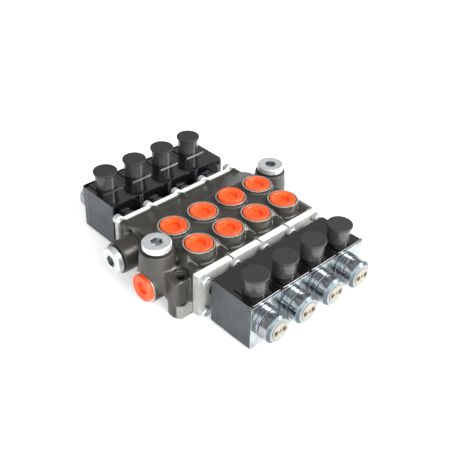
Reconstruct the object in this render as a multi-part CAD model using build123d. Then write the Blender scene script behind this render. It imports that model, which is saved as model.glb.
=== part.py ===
from build123d import *
import os

# Four-section electro-manual directional valve, in millimetres.
# Z is up and zero is under the feet. X runs along the row of sections. Y runs along the spools.
# A bank is a row of solenoids: the near bank points to -Y and the far bank to +Y.
# A station is a distance from the middle plane y = 0, measured outward along a spool's axis.

# Sections
section_count = 4
axis_height = 27.25
NEAR = -1
FAR = 1

# Running and seating clearances
spool_clearance = 0.03
armature_clearance = 0.05
pin_clearance = 0.06
seat_clearance = 0.1
winding_clearance = 0.3
guide_clearance = 0.3
cap_clearance = 0.4
thread_clearance = 0.1

# How far a cutting tool runs past the face that it opens
cut_margin = 1.0

# Coil
coil_width = 37.4
coil_gap = 0.6
coil_height = 49.5
coil_length = 52.0
housing_wall = 2.0
housing_end_wall = 5.0
moulding_lip = 1.0
housing_corner_radius = 1.5
moulding_corner_radius = 2.5
coil_bore_radius = 9.75
bobbin_wall = 1.95
winding_depth = 3.6
winding_inset = 4.5

# Cast body
half_width = 57.5
end_wall = 3.0
floor_height = 5.0
deck_height = 58.5
far_shoulder_height = 45.0
near_shoulder_height = 46.5
deck_far_edge = 18.0
deck_near_edge = -38.0
near_slope_inset = 7.5
end_slope_run = 6.0
end_slope_drop = 7.0
crown_edge_radius = 1.5
flange_thickness = 6.5
flange_floor = 4.0
near_flange_top = 49.0
far_flange_top = 45.0
near_flange_overhang = 3.0
far_flange_overhang = 0.5
shoulder_reach = 5.0
shoulder_top = 49.5

# Work ports on the deck
port_row_a = 0.2
port_row_b = -37.0
port_rise = 3.9
port_boss_radius = 16.25
counterbore_radius = 14.3
counterbore_depth = 1.5
port_thread_radius = 9.3
port_thread_depth = 16.0
port_drop_radius = 7.0

# Galleries along X
pressure_y = -18.7
tank_y = 18.5
gallery_height = 25.4
gallery_radius = 7.0
gallery_end_wall = 9.0

# Corner bosses at the left end
relief_offset = 13.7
relief_top = 63.0
neck_top = 50.0
neck_width = 24.0
corner_boss_radius = 16.3
corner_boss_foot_radius = 19.5
corner_boss_foot_height = 30.0
pressure_boss_radius = 16.5
pressure_reach = 30.0
side_boss_y = 29.5
side_boss_height = 28.8
side_boss_radius = 16.3
side_reach = 25.5
side_port_inset = 9.0

# Corner boss at the right end, with the tank port in its side
return_offset = 17.0
return_top = 54.5
tank_reach = 26.0
return_drop_radius = 6.0
spot_face_radius = 17.5

# Relief passage
relief_seat_height = 35.0
relief_chamber_radius = 6.5
relief_seat_radius = 3.5
poppet_nose_radius = 3.2
poppet_nose_length = 2.5
poppet_disc_radius = 5.8
poppet_disc_thickness = 2.5
poppet_guide_length = 3.5
relief_spring_radius = 5.6
relief_spring_wire = 1.2
relief_return_radius = 3.0
relief_return_height = 46.0
relief_return_inset = 7.0

# Feet on the near side and pads on the far side
foot_hole_offset = 7.5
foot_hole_inset = 12.5
foot_hole_radius = 4.25
foot_spot_radius = 7.5
foot_spot_depth = 1.0
left_foot_reach = 19.7
left_foot_top = 48.0
right_foot_reach = 15.0
right_foot_top = 37.0
foot_top_drop = 4.5
foot_near_inset = 2.1
foot_far_inset = 22.7
foot_pad_height = 17.0
foot_pad_proud = 1.5
foot_corner_radius = 2.5
foot_boss_radius = 12.3
pad_length = 17.0
pad_width = 21.5
pad_height = 6.0
pad_hole_offset = 11.5
pad_hole_inset = 11.0
pad_hole_radius = 3.4
pad_hole_depth = 14.0

# Section plates and their screws
plate_thickness = 7.5
plate_gap = 0.4
plate_edge = 0.6
near_plate_height = 46.6
far_plate_height = 36.0
near_screw_offset = 19.0
far_screw_offset = 15.5
plate_ear_radius = 6.0
screw_radius = 3.0
screw_hole_clearance = 0.1
screw_notch_clearance = 0.3
screw_grip = 17.5
screw_head_radius = 5.0
screw_head_height = 6.0
screw_head_edge = 0.5
screw_socket_width = 5.0
screw_socket_depth = 3.0
near_screw_boss_radius = 6.3
near_screw_boss_depth = 21.0
far_screw_boss_radius = 4.6
far_screw_boss_depth = 12.0

# Spool, with balance grooves round its lands
spool_radius = 8.0
spool_end_inset = 1.5
spool_neck_radius = 5.0
spool_stroke = 4.0
land_overlap = 1.5
groove_count = 3
groove_width = 0.8
groove_depth = 0.5
groove_pitch = 3.0
stem_radius = 4.0
stem_reach = 6.5

# Solenoid tube
tube_hub_radius = 11.0
tube_hex_width = 23.0
tube_hex_length = 9.3
tube_radius = 9.5
tube_end_inset = 1.8
spring_chamber_radius = 8.3
pole_inset = 7.0
pole_length = 14.0
tube_plug_radius = 8.0
tube_plug_length = 6.4

# Armature, push rod and override pin
armature_radius = 7.0
pole_gap = 2.0
chamber_end_gap = 5.0
armature_slot_width = 2.0
rod_radius = 2.5
pin_radius = 2.0
pin_inset = 1.0

# Centring spring
spring_outer_radius = 7.0
spring_wire = 1.6
spring_turns = 3

# Connector on the coil's top, with its cap
connector_inset = 15.8
pad_size_x = 27.0
pad_size_y = 26.0
pad_rise = 1.2
pad_corner_radius = 1.5
rail_width = 2.0
collar_outer_radius = 9.6
collar_inner_radius = 8.1
collar_height = 14.0
contact_radius = 1.2
contact_height = 9.0
contact_depth = 3.0
contact_spacing = 8.0
cap_height = 18.8
cap_disc_radius = 12.84
cap_disc_thickness = 2.5
cap_top_radius = 11.4
cap_foot_radius = 11.1
cap_edge = 0.5

# Stack on the tube's end
inner_seal_thickness = 1.2
inner_seal_radius = 12.0
spacer_thickness = 4.4
stack_radius = 15.0
outer_seal_thickness = 1.0
outer_seal_radius = 14.0
nut_length = 12.3
nut_chamfer = 3.0
plug_head_proud = 0.8
plug_head_radius = 9.3
plug_slot_offset = 5.3
plug_slot_length = 4.0
plug_slot_width = 5.0
plug_slot_depth = 1.6

# Orange transport plugs
port_plug_radius = 13.2
port_plug_proud = 0.8
raised_plug_lift = 2.2
raised_plug_section = 2
end_plug_radius = 13.8
end_plug_height = 3.6
plug_rim_width = 2.8
plug_rim_depth = 0.8
plug_hub_radius = 7.2
plug_hub_depth = 1.4
transport_hex = 12.0
transport_hex_depth = 3.4
transport_shank_length = 10.0

# Steel screw plugs with their seals
steel_plug_radius = 14.1
steel_plug_chamfer = 0.9
steel_plug_height = 6.7
steel_hex = 11.0
steel_hex_depth = 6.0
steel_shank_length = 12.0
bonded_seal_radius = 13.3
bonded_seal_thickness = 1.8

# Sizes that follow from those above
section_pitch = coil_width + coil_gap
row_half = section_count * section_pitch / 2
body_half = row_half + end_wall
section_xs = [(i + 0.5) * section_pitch - row_half for i in range(section_count)]
seam_xs = [i * section_pitch - row_half for i in range(section_count + 1)]
winding_inner_radius = coil_bore_radius + bobbin_wall
winding_outer_radius = winding_inner_radius + winding_depth
spool_bore_radius = spool_radius + spool_clearance
armature_bore_radius = armature_radius + armature_clearance
rod_bore_radius = rod_radius + armature_clearance
port_rim_height = deck_height + port_rise
coil_floor = axis_height - coil_height / 2
coil_top = axis_height + coil_height / 2
pad_top = coil_top + pad_rise
ROOT3 = 3 ** 0.5

# Places beyond the body's ends
relief_x = -body_half - relief_offset
pressure_face_x = -body_half - pressure_reach
side_face_x = -body_half - side_reach
return_x = body_half + return_offset
tank_face_x = body_half + tank_reach
relief_return_x = -body_half + relief_return_inset
foot_hole_x = body_half + foot_hole_offset
foot_hole_y = -half_width + foot_hole_inset
pad_hole_x = body_half - pad_hole_offset
pad_hole_y = half_width - pad_hole_inset

# Stations along a solenoid, from the flange outward
plate_outer_station = half_width + plate_thickness
spool_end_station = half_width - spool_end_inset
stem_end_station = half_width + stem_reach
tube_hub_end = plate_outer_station + tube_hex_length
coil_inner_station = tube_hub_end + inner_seal_thickness
coil_outer_station = coil_inner_station + coil_length
winding_start = coil_inner_station + winding_inset
connector_station = coil_outer_station - connector_inset
spacer_end = coil_outer_station + spacer_thickness
outer_seal_end = spacer_end + outer_seal_thickness
nut_end = outer_seal_end + nut_length
tube_end = nut_end - tube_end_inset
plug_head_end = nut_end + plug_head_proud
pin_end = plug_head_end - pin_inset
pole_station = plate_outer_station + pole_inset
pole_end_station = pole_station + pole_length
armature_chamber_end = tube_end - tube_plug_length
armature_start = pole_end_station + spool_stroke + pole_gap
armature_end = armature_chamber_end - spool_stroke - chamber_end_gap


def bank(x, side):
    """Places a piece drawn about Z so that Z runs outward along a spool's axis and Y is up."""
    return Plane(origin=(x, 0, axis_height), x_dir=(-side, 0, 0), z_dir=(0, side, 0)).location


def along_x(x, y, z, direction):
    """Places a piece drawn about Z so that Z runs along X, outward from the body's end."""
    return Plane(origin=(x, y, z), x_dir=(0, direction, 0), z_dir=(direction, 0, 0)).location


def rod(radius, start, end):
    """A cylinder about Z between two heights."""
    return extrude(Pos(0, 0, start) * Circle(radius), amount=end - start)


def ring(outer, inner, start, end):
    """A ring about Z between two heights."""
    return extrude(Pos(0, 0, start) * (Circle(outer) - Circle(inner)), amount=end - start)


def slab(size_x, size_y, start, end):
    """A rectangular block centred on Z between two heights."""
    return extrude(Pos(0, 0, start) * Rectangle(size_x, size_y), amount=end - start)


def block(x_range, y_range, z_range):
    """A block between its lowest and highest corners."""
    size = [high - low for low, high in (x_range, y_range, z_range)]
    middle = [(low + high) / 2 for low, high in (x_range, y_range, z_range)]
    return Pos(*middle) * Box(*size)


def hexagon(width, start, end):
    """A hexagonal prism about Z, measured across its flats."""
    return extrude(Pos(0, 0, start) * RegularPolygon(width / ROOT3, 6), amount=end - start)


def turned(points):
    """A body of revolution about Z from (radius, height) points."""
    outline = make_face(Polyline(*[(r, 0, z) for r, z in points], close=True))
    return revolve(outline, Axis.Z)


def screw_heights(side):
    offset = near_screw_offset if side == NEAR else far_screw_offset
    return axis_height - offset, axis_height + offset


# Cast body
def crown():
    """The body between the flanges: a raised deck that slopes down to each bank and each end."""
    inner = half_width - flange_thickness
    across = Polyline(
        (inner, floor_height),
        (inner, far_shoulder_height),
        (deck_far_edge, deck_height),
        (deck_near_edge, deck_height),
        (near_slope_inset - half_width, near_shoulder_height),
        (-inner, near_shoulder_height),
        (-inner, floor_height),
        close=True,
    )
    slope_foot = deck_height - end_slope_drop
    slope_head = body_half - end_slope_run
    along = Polyline(
        (-body_half, floor_height),
        (-body_half, slope_foot),
        (-slope_head, deck_height),
        (slope_head, deck_height),
        (body_half, slope_foot),
        (body_half, floor_height),
        close=True,
    )
    side_face = Plane(origin=(-body_half, 0, 0), x_dir=(0, 1, 0), z_dir=(1, 0, 0)) * make_face(across)
    front_face = Plane(origin=(0, inner, 0), x_dir=(1, 0, 0), z_dir=(0, -1, 0)) * make_face(along)
    solid = extrude(side_face, amount=2 * body_half) & extrude(front_face, amount=2 * inner)
    deck_edges = solid.faces().sort_by(Axis.Z)[-1].edges()
    return fillet(deck_edges, crown_edge_radius)


def flange(side):
    """The machined flange that carries one bank."""
    overhang = near_flange_overhang if side == NEAR else far_flange_overhang
    top = near_flange_top if side == NEAR else far_flange_top
    ys = sorted([side * half_width, side * (half_width - flange_thickness)])
    return block((-body_half - overhang, body_half + overhang), ys, (flange_floor, top))


def shoulder():
    """The step along the right end, from the near flange to the tank boss."""
    return block((row_half, body_half + shoulder_reach), (-half_width, tank_y), (floor_height, shoulder_top))


def corner_boss(x, y, top):
    """An upright boss that widens downward and ends at the gallery's height."""
    taper = (corner_boss_foot_radius - corner_boss_radius) / (relief_top - corner_boss_foot_height)
    height = top - gallery_height
    upright = Cone(corner_boss_radius + taper * height, corner_boss_radius, height)
    return Pos(x, y, gallery_height + height / 2) * upright


def end_boss(face_x, y, z, radius):
    """A horizontal boss from inside the body to a face beyond its end."""
    direction = 1 if face_x > 0 else -1
    start = direction * row_half
    return along_x(start, y, z, direction) * rod(radius, 0, abs(face_x - start))


def neck(x, y):
    """The web that joins an upright boss to the body's end."""
    xs = sorted([x, row_half if x > 0 else -row_half])
    return block(xs, (y - neck_width / 2, y + neck_width / 2), (gallery_height, neck_top))


def foot(direction, reach, top):
    """A foot beside the near flange: a sloping top, rounded corners and a round boss low on it."""
    near_y = foot_near_inset - half_width
    far_y = foot_far_inset - half_width
    outline = Polyline(
        (near_y, 0),
        (far_y, 0),
        (far_y, top),
        (near_y + foot_pad_proud, top - foot_top_drop),
        (near_y + foot_pad_proud, foot_pad_height),
        (near_y, foot_pad_height - foot_pad_proud),
        close=True,
    )
    length = body_half - row_half + reach
    face = Plane(origin=(direction * row_half, 0, 0), x_dir=(0, 1, 0), z_dir=(1, 0, 0)) * make_face(outline)
    plan = RectangleRounded(length, far_y - near_y, foot_corner_radius)
    middle = Pos(direction * (row_half + length / 2), (near_y + far_y) / 2)
    solid = extrude(face, amount=direction * length) & (middle * extrude(plan, amount=top))
    boss = Pos(direction * foot_hole_x, foot_hole_y) * rod(foot_boss_radius, 0, foot_pad_height)
    upper = middle * slab(length, far_y - near_y, foot_pad_height, top)
    return solid & (boss + upper)


def far_pad(direction):
    """A pad under the far flange."""
    xs = sorted([direction * body_half, direction * (body_half - pad_length)])
    return block(xs, (half_width - pad_width, half_width), (0, pad_height))


def at_screws(side):
    """The place of every plate screw of a bank, with Z outward from the middle plane."""
    return [
        bank(x, side) * Pos(0, height - axis_height, 0)
        for height in screw_heights(side)
        for x in seam_xs
    ]


def screw_boss(side):
    """The boss behind a plate screw, smaller on the far side, where the deck slopes down to it."""
    if side == NEAR:
        return rod(near_screw_boss_radius, half_width - near_screw_boss_depth, half_width)
    return rod(far_screw_boss_radius, half_width - far_screw_boss_depth, half_width)


def at_work_ports():
    return [Pos(x, y, 0) for x in section_xs for y in (port_row_a, port_row_b)]


def work_port_hole():
    """Counterbore, threaded mouth and drop to the spool."""
    thread_floor = port_rim_height - port_thread_depth
    counterbore_floor = port_rim_height - counterbore_depth
    return turned(
        [
            (0, axis_height),
            (port_drop_radius, axis_height),
            (port_drop_radius, thread_floor),
            (port_thread_radius, thread_floor),
            (port_thread_radius, counterbore_floor),
            (counterbore_radius, counterbore_floor),
            (counterbore_radius, port_rim_height + cut_margin),
            (0, port_rim_height + cut_margin),
        ]
    )


def end_port(face_x, y, z, depth):
    """A threaded port hole that runs into the body from an end face."""
    direction = 1 if face_x > 0 else -1
    return along_x(face_x, y, z, -direction) * rod(port_thread_radius, -cut_margin, depth)


def cross_bore(radius, x, z, start, end):
    """A bore along Y between two places."""
    return Pos(x, (start + end) / 2, z) * Rot(90, 0, 0) * Cylinder(radius, end - start)


def galleries():
    """Pressure and tank galleries along X, and the relief passage between them."""
    pressure_start = pressure_face_x + port_thread_depth - cut_margin
    pressure_length = body_half - gallery_end_wall - pressure_start
    return_length = relief_return_x - relief_x
    return [
        along_x(pressure_start, pressure_y, gallery_height, 1) * rod(gallery_radius, 0, pressure_length),
        along_x(-row_half, tank_y, gallery_height, 1) * rod(gallery_radius, 0, row_half + return_x),
        along_x(relief_x, pressure_y, relief_return_height, 1) * rod(relief_return_radius, 0, return_length),
        cross_bore(relief_return_radius, relief_return_x, relief_return_height, pressure_y, tank_y),
        Pos(relief_return_x, tank_y, 0) * rod(relief_return_radius, gallery_height, relief_return_height),
    ]


def relief_hole():
    """Threaded mouth, chamber and seat under the left corner plug."""
    thread_floor = relief_top - port_thread_depth
    return Pos(relief_x, pressure_y, 0) * turned(
        [
            (0, gallery_height),
            (relief_seat_radius, gallery_height),
            (relief_seat_radius, relief_seat_height),
            (relief_chamber_radius, relief_seat_height),
            (relief_chamber_radius, thread_floor),
            (port_thread_radius, thread_floor),
            (port_thread_radius, relief_top + cut_margin),
            (0, relief_top + cut_margin),
        ]
    )


def return_hole():
    """Threaded mouth and drop to the tank gallery under the right corner plug."""
    mouth = rod(port_thread_radius, return_top - port_thread_depth, return_top + cut_margin)
    drop = rod(return_drop_radius, gallery_height, return_top)
    return [Pos(return_x, tank_y, 0) * mouth, Pos(return_x, tank_y, 0) * drop]


def valve_body():
    """The casting: deck, flanges, bosses and feet, bored for spools, ports and screws."""
    solids = [
        flange(NEAR),
        flange(FAR),
        shoulder(),
        foot(-1, left_foot_reach, left_foot_top),
        foot(1, right_foot_reach, right_foot_top),
        far_pad(-1),
        far_pad(1),
        corner_boss(relief_x, pressure_y, relief_top),
        corner_boss(return_x, tank_y, return_top),
        neck(relief_x, pressure_y),
        neck(return_x, tank_y),
        end_boss(pressure_face_x, pressure_y, gallery_height, pressure_boss_radius),
        end_boss(side_face_x, side_boss_y, side_boss_height, side_boss_radius),
        end_boss(tank_face_x, tank_y, gallery_height, pressure_boss_radius),
    ]
    port_boss = rod(port_boss_radius, axis_height, port_rim_height)
    solids += [place * port_boss for place in at_work_ports()]
    solids += [place * screw_boss(side) for side in (NEAR, FAR) for place in at_screws(side)]
    past_face = half_width + cut_margin
    cuts = [cross_bore(spool_bore_radius, x, axis_height, -past_face, past_face) for x in section_xs]
    spot_face = rod(spot_face_radius, 0, corner_boss_foot_radius)
    cuts += [
        along_x(pressure_face_x, pressure_y, gallery_height, -1) * spot_face,
        along_x(tank_face_x, tank_y, gallery_height, 1) * spot_face,
        end_port(pressure_face_x, pressure_y, gallery_height, port_thread_depth),
        end_port(side_face_x, side_boss_y, side_boss_height, side_reach + side_port_inset),
        end_port(tank_face_x, tank_y, gallery_height, port_thread_depth),
        relief_hole(),
    ]
    cuts += return_hole() + galleries()
    cuts += [place * work_port_hole() for place in at_work_ports()]
    screw_hole = rod(screw_radius + screw_hole_clearance, half_width - screw_grip - cut_margin, past_face)
    cuts += [place * screw_hole for side in (NEAR, FAR) for place in at_screws(side)]
    foot_hole_end = left_foot_top + cut_margin
    pad_hole = rod(pad_hole_radius, -cut_margin, pad_hole_depth)
    for direction, foot_top in ((-1, left_foot_top), (1, right_foot_top)):
        spot_height = foot_top - foot_top_drop - foot_spot_depth
        hole_place = Pos(direction * foot_hole_x, foot_hole_y, 0)
        cuts.append(hole_place * rod(foot_hole_radius, -cut_margin, foot_hole_end))
        cuts.append(hole_place * rod(foot_spot_radius, spot_height, foot_hole_end))
        cuts.append(Pos(direction * pad_hole_x, pad_hole_y, 0) * pad_hole)
    return (crown() + solids) - cuts


# Section plates and screws
def section_plate(index, side):
    """A plate over one section, notched at the seams where its screws pass."""
    height = near_plate_height if side == NEAR else far_plate_height
    offset = near_screw_offset if side == NEAR else far_screw_offset
    middle = -side * section_xs[index]
    seams = sorted([-side * seam_xs[index], -side * seam_xs[index + 1]])
    limits = [seams[0] + plate_gap / 2, seams[1] - plate_gap / 2]
    if abs(seams[0] + row_half) < plate_gap:
        limits[0] = seams[0] - plate_ear_radius
    if abs(seams[1] - row_half) < plate_gap:
        limits[1] = seams[1] + plate_ear_radius
    corners = [Pos(x, y) for x in seams for y in (-offset, offset)]
    span_middle = Pos((limits[0] + limits[1]) / 2, 0)
    span = limits[1] - limits[0]
    outline = span_middle * Rectangle(span, height)
    outline += [corner * Circle(plate_ear_radius) for corner in corners]
    outline &= span_middle * Rectangle(span, height + 2 * plate_ear_radius)
    outline -= [corner * Circle(screw_radius + screw_notch_clearance) for corner in corners]
    outline -= Pos(middle, 0) * Circle(tube_hub_radius + seat_clearance)
    plate = extrude(Pos(0, 0, half_width) * outline, amount=plate_thickness)
    front_edges = plate.faces().sort_by(Axis.Z)[-1].outer_wire().edges()
    return bank(0, side) * chamfer(front_edges, plate_edge)


def plate_screw():
    """A socket head screw about Z, seated on the plate's outer face."""
    head_end = plate_outer_station + screw_head_height
    screw = turned(
        [
            (0, half_width - screw_grip),
            (screw_radius, half_width - screw_grip),
            (screw_radius, plate_outer_station),
            (screw_head_radius, plate_outer_station),
            (screw_head_radius, head_end - screw_head_edge),
            (screw_head_radius - screw_head_edge, head_end),
            (0, head_end),
        ]
    )
    return screw - hexagon(screw_socket_width, head_end - screw_socket_depth, head_end + cut_margin)


# Spools and what moves with them
def spool():
    """A spool about Z, drawn from the near end to the far end, with a stem at each end."""
    drop = port_drop_radius + land_overlap
    necks = [
        (port_row_b + drop, port_row_a - drop),
        (port_row_a + drop, tank_y + gallery_radius + spool_stroke),
    ]
    body = rod(spool_radius, -spool_end_station, spool_end_station)
    body += rod(stem_radius, -stem_end_station, stem_end_station)
    for start, end in necks:
        body -= ring(spool_radius + cut_margin, spool_neck_radius, start, end)
    for direction in (-1, 1):
        for i in range(groove_count):
            middle = direction * (spool_end_station - (i + 1) * groove_pitch)
            groove_start = middle - groove_width / 2
            groove_end = middle + groove_width / 2
            body -= ring(spool_radius + cut_margin, spool_radius - groove_depth, groove_start, groove_end)
    return body


def armature():
    """An armature with its push rod, about Z, with two vent slots along its length."""
    solid = rod(armature_radius, armature_start, armature_end)
    slot_middle = (armature_start + armature_end) / 2
    for direction in (-1, 1):
        slot = Box(armature_slot_width, armature_slot_width, 2 * armature_end)
        solid -= Pos(0, direction * armature_radius, slot_middle) * slot
    return solid + rod(rod_radius, stem_end_station, armature_start)


def coil_spring(outer_radius, wire, turns, start, end):
    """A helical spring of square wire about Z between two heights."""
    mean_radius = outer_radius - wire / 2
    height = end - start - wire
    path = Helix(pitch=height / turns, height=height, radius=mean_radius)
    section = Plane(origin=path @ 0, z_dir=path % 0, x_dir=(1, 0, 0)) * Rectangle(wire, wire)
    return Pos(0, 0, start + wire / 2) * sweep(section, path=path, is_frenet=True)


# Solenoid tube, coil and the stack on the tube's end
def solenoid_tube():
    """A tube about Z with a hexagon by the plate, a pole, a spring chamber and an armature chamber."""
    outside = rod(tube_hub_radius, half_width, plate_outer_station)
    outside += hexagon(tube_hex_width, plate_outer_station, tube_hub_end)
    outside += rod(tube_radius, tube_hub_end, tube_end)
    inside = turned(
        [
            (0, half_width - cut_margin),
            (spring_chamber_radius, half_width - cut_margin),
            (spring_chamber_radius, pole_station),
            (rod_bore_radius, pole_station),
            (rod_bore_radius, pole_end_station),
            (armature_bore_radius, pole_end_station),
            (armature_bore_radius, armature_chamber_end),
            (tube_plug_radius, armature_chamber_end),
            (tube_plug_radius, tube_end + cut_margin),
            (0, tube_end + cut_margin),
        ]
    )
    return outside - inside


def coil_frame(start, end):
    """The outside of a coil's steel frame between two stations, with rounded lower edges."""
    frame_top = coil_top - moulding_lip
    outside = block(
        (-coil_width / 2, coil_width / 2),
        (coil_floor - axis_height, frame_top - axis_height),
        (start, end),
    )
    low_edges = outside.edges().filter_by(Axis.Z).group_by(Axis.Y)[0]
    return fillet(low_edges, housing_corner_radius)


def coil_housing():
    """The steel channel round a coil: two walls and a floor."""
    outside = coil_frame(coil_inner_station, coil_outer_station - housing_end_wall)
    inner_half = coil_width / 2 - housing_wall
    inside = block(
        (-inner_half, inner_half),
        (coil_floor + housing_wall - axis_height, coil_top - axis_height),
        (coil_inner_station - cut_margin, coil_outer_station),
    )
    return outside - inside


def coil_end_plate():
    """The thick plate that closes a coil's frame at its outer end."""
    plate = coil_frame(coil_outer_station - housing_end_wall, coil_outer_station)
    return plate - rod(coil_bore_radius, coil_inner_station, coil_outer_station + cut_margin)


def upright(station):
    """Places a piece drawn about Z with real heights into the frame of a bank."""
    return Plane(origin=(0, -axis_height, station), x_dir=(1, 0, 0), z_dir=(0, 1, 0)).location


def at_contacts():
    """The places of a connector's two contacts in the frame of a bank."""
    return [
        upright(connector_station) * Pos(direction * contact_spacing / 2, 0, 0)
        for direction in (-1, 1)
    ]


def coil_moulding():
    """The black moulding: winding pocket, lid over the steel, connector pad, collar and outer rail."""
    inner_half = coil_width / 2 - housing_wall
    frame_top = coil_top - moulding_lip
    end = coil_outer_station - housing_end_wall
    core = block(
        (-inner_half, inner_half),
        (coil_floor + housing_wall - axis_height, frame_top - axis_height),
        (coil_inner_station, end),
    )
    lid = block(
        (-coil_width / 2, coil_width / 2),
        (frame_top - axis_height, coil_top - axis_height),
        (coil_inner_station, coil_outer_station),
    )
    corner_edges = lid.edges().filter_by(Axis.Y).group_by(Axis.Z)[0]
    lid = fillet(corner_edges, moulding_corner_radius)
    pad_slab = slab(pad_size_x, pad_size_y, coil_top, pad_top)
    pad = upright(connector_station) * fillet(pad_slab.edges().filter_by(Axis.Z), pad_corner_radius)
    rail = upright(coil_outer_station - rail_width / 2) * slab(coil_width, rail_width, coil_top, pad_top)
    collar_top = pad_top + collar_height
    collar = upright(connector_station) * ring(collar_outer_radius, collar_inner_radius, pad_top, collar_top)
    pocket = ring(
        winding_outer_radius + winding_clearance,
        winding_inner_radius - winding_clearance,
        winding_start,
        end + cut_margin,
    )
    bore = rod(coil_bore_radius, coil_inner_station - cut_margin, coil_outer_station)
    contact_hole = rod(contact_radius + pin_clearance, pad_top - contact_depth, pad_top + cut_margin)
    contact_holes = [place * contact_hole for place in at_contacts()]
    return (core + [lid, pad, rail, collar]) - [pocket & core, bore] - contact_holes


def winding():
    start = winding_start + winding_clearance
    end = coil_outer_station - housing_end_wall - winding_clearance
    return ring(winding_outer_radius, winding_inner_radius, start, end)


def contacts():
    contact = rod(contact_radius, pad_top - contact_depth, pad_top + contact_height)
    return [place * contact for place in at_contacts()]


def connector_cap():
    """A round cap with an overhanging disc, about Z with real heights."""
    inner_radius = collar_outer_radius + cap_clearance
    top = pad_top + cap_height
    disc_floor = top - cap_disc_thickness
    return turned(
        [
            (inner_radius, pad_top),
            (cap_foot_radius, pad_top),
            (cap_top_radius, disc_floor),
            (cap_disc_radius, disc_floor),
            (cap_disc_radius, top - cap_edge),
            (cap_disc_radius - cap_edge, top),
            (0, top),
            (0, disc_floor),
            (inner_radius, disc_floor),
        ]
    )


def coil_spacer():
    return ring(stack_radius, coil_bore_radius, coil_outer_station, spacer_end)


def coil_nut():
    """A round nut with a long front chamfer, about Z."""
    bore = tube_radius + thread_clearance
    return turned(
        [
            (bore, outer_seal_end),
            (stack_radius, outer_seal_end),
            (stack_radius, nut_end - nut_chamfer),
            (stack_radius - nut_chamfer, nut_end),
            (bore, nut_end),
        ]
    )


def override_plug():
    """The plug that closes a tube, with two slots and a hole for the override pin."""
    shank = rod(tube_plug_radius - thread_clearance, armature_chamber_end, tube_end)
    head = rod(plug_head_radius, tube_end, plug_head_end)
    slots = [
        Pos(direction * plug_slot_offset, 0, plug_head_end)
        * Box(plug_slot_length, plug_slot_width, 2 * plug_slot_depth)
        for direction in (-1, 1)
    ]
    pin_hole = rod(pin_radius + pin_clearance, armature_chamber_end - cut_margin, plug_head_end + cut_margin)
    return (shank + head) - slots - [pin_hole]


# Plugs
def transport_plug(head_radius, head_height):
    """A plastic plug about Z, seated at zero: a rim, a dish, a lower hub and a hexagonal recess."""
    shank_radius = port_thread_radius - thread_clearance
    dish_radius = head_radius - plug_rim_width
    dish_height = head_height - plug_rim_depth
    hub_height = head_height - plug_hub_depth
    plug = turned(
        [
            (0, -transport_shank_length),
            (shank_radius, -transport_shank_length),
            (shank_radius, 0),
            (head_radius, 0),
            (head_radius, head_height - plug_rim_depth / 2),
            (head_radius - plug_rim_depth / 2, head_height),
            (dish_radius, head_height),
            (dish_radius - plug_rim_depth, dish_height),
            (plug_hub_radius, dish_height),
            (plug_hub_radius, hub_height),
            (0, hub_height),
        ]
    )
    return plug - hexagon(transport_hex, head_height - transport_hex_depth, head_height + cut_margin)


def steel_plug():
    """A plug about Z, with its bonded seal's face at zero, a wide head and a hexagonal socket."""
    top = bonded_seal_thickness + steel_plug_height
    shank_radius = port_thread_radius - thread_clearance
    plug = turned(
        [
            (0, -steel_shank_length),
            (shank_radius, -steel_shank_length),
            (shank_radius, bonded_seal_thickness),
            (steel_plug_radius, bonded_seal_thickness),
            (steel_plug_radius, top - steel_plug_chamfer),
            (steel_plug_radius - steel_plug_chamfer, top),
            (0, top),
        ]
    )
    return plug - hexagon(steel_hex, top - steel_hex_depth, top + cut_margin)


def bonded_seal():
    return ring(bonded_seal_radius, port_thread_radius, 0, bonded_seal_thickness)


def relief_poppet():
    """The relief valve's poppet, about Z with real heights, seated at rest."""
    disc_top = relief_seat_height + poppet_disc_thickness
    guide_radius = relief_spring_radius - relief_spring_wire - guide_clearance
    return turned(
        [
            (0, relief_seat_height - poppet_nose_length),
            (poppet_nose_radius, relief_seat_height - poppet_nose_length),
            (poppet_nose_radius, relief_seat_height),
            (poppet_disc_radius, relief_seat_height),
            (poppet_disc_radius, disc_top),
            (guide_radius, disc_top),
            (guide_radius, disc_top + poppet_guide_length),
            (0, disc_top + poppet_guide_length),
        ]
    )


def write(name, pieces):
    """Writes one sub-part, of one or more solids, as a STEP file."""
    solids = [piece.solid() for piece in pieces]
    shape = solids[0] if len(solids) == 1 else Compound(solids)
    export_step(shape, os.path.join("parts", name + ".step"))


os.makedirs("parts", exist_ok=True)
write("valve_body", [valve_body()])

banks = ((NEAR, "near"), (FAR, "far"))
places = [bank(x, side) for side, name in banks for x in section_xs]
plates = [section_plate(i, side) for side, name in banks for i in range(section_count)]
write("section_plates", plates)
screw = plate_screw()
write("plate_screws", [place * screw for side, name in banks for place in at_screws(side)])

tube = solenoid_tube()
write("solenoid_tubes", [place * tube for place in places])
spacer = coil_spacer()
write("coil_spacers", [place * spacer for place in places])
nut = coil_nut()
write("coil_nuts", [place * nut for place in places])
end_plug = override_plug()
write("override_plugs", [place * end_plug for place in places])
inner_seal = ring(inner_seal_radius, coil_bore_radius, tube_hub_end, coil_inner_station)
outer_seal = ring(outer_seal_radius, coil_bore_radius, spacer_end, outer_seal_end)
write("coil_seals", [place * seal for place in places for seal in (inner_seal, outer_seal)])
one_winding = winding()
write("coil_windings", [place * one_winding for place in places])
write("connector_contacts", [place * contact for place in places for contact in contacts()])

end_plate = coil_end_plate()
write("coil_end_plates", [place * end_plate for place in places])
housing = coil_housing()
moulding = coil_moulding()
cap = connector_cap()
for side, name in banks:
    for i, x in enumerate(section_xs):
        number = str(i + 1)
        write("coil_housing_" + name + "_" + number, [bank(x, side) * housing])
        write("coil_moulding_" + name + "_" + number, [bank(x, side) * moulding])
        write("connector_cap_" + name + "_" + number, [Pos(x, side * connector_station, 0) * cap])

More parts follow.
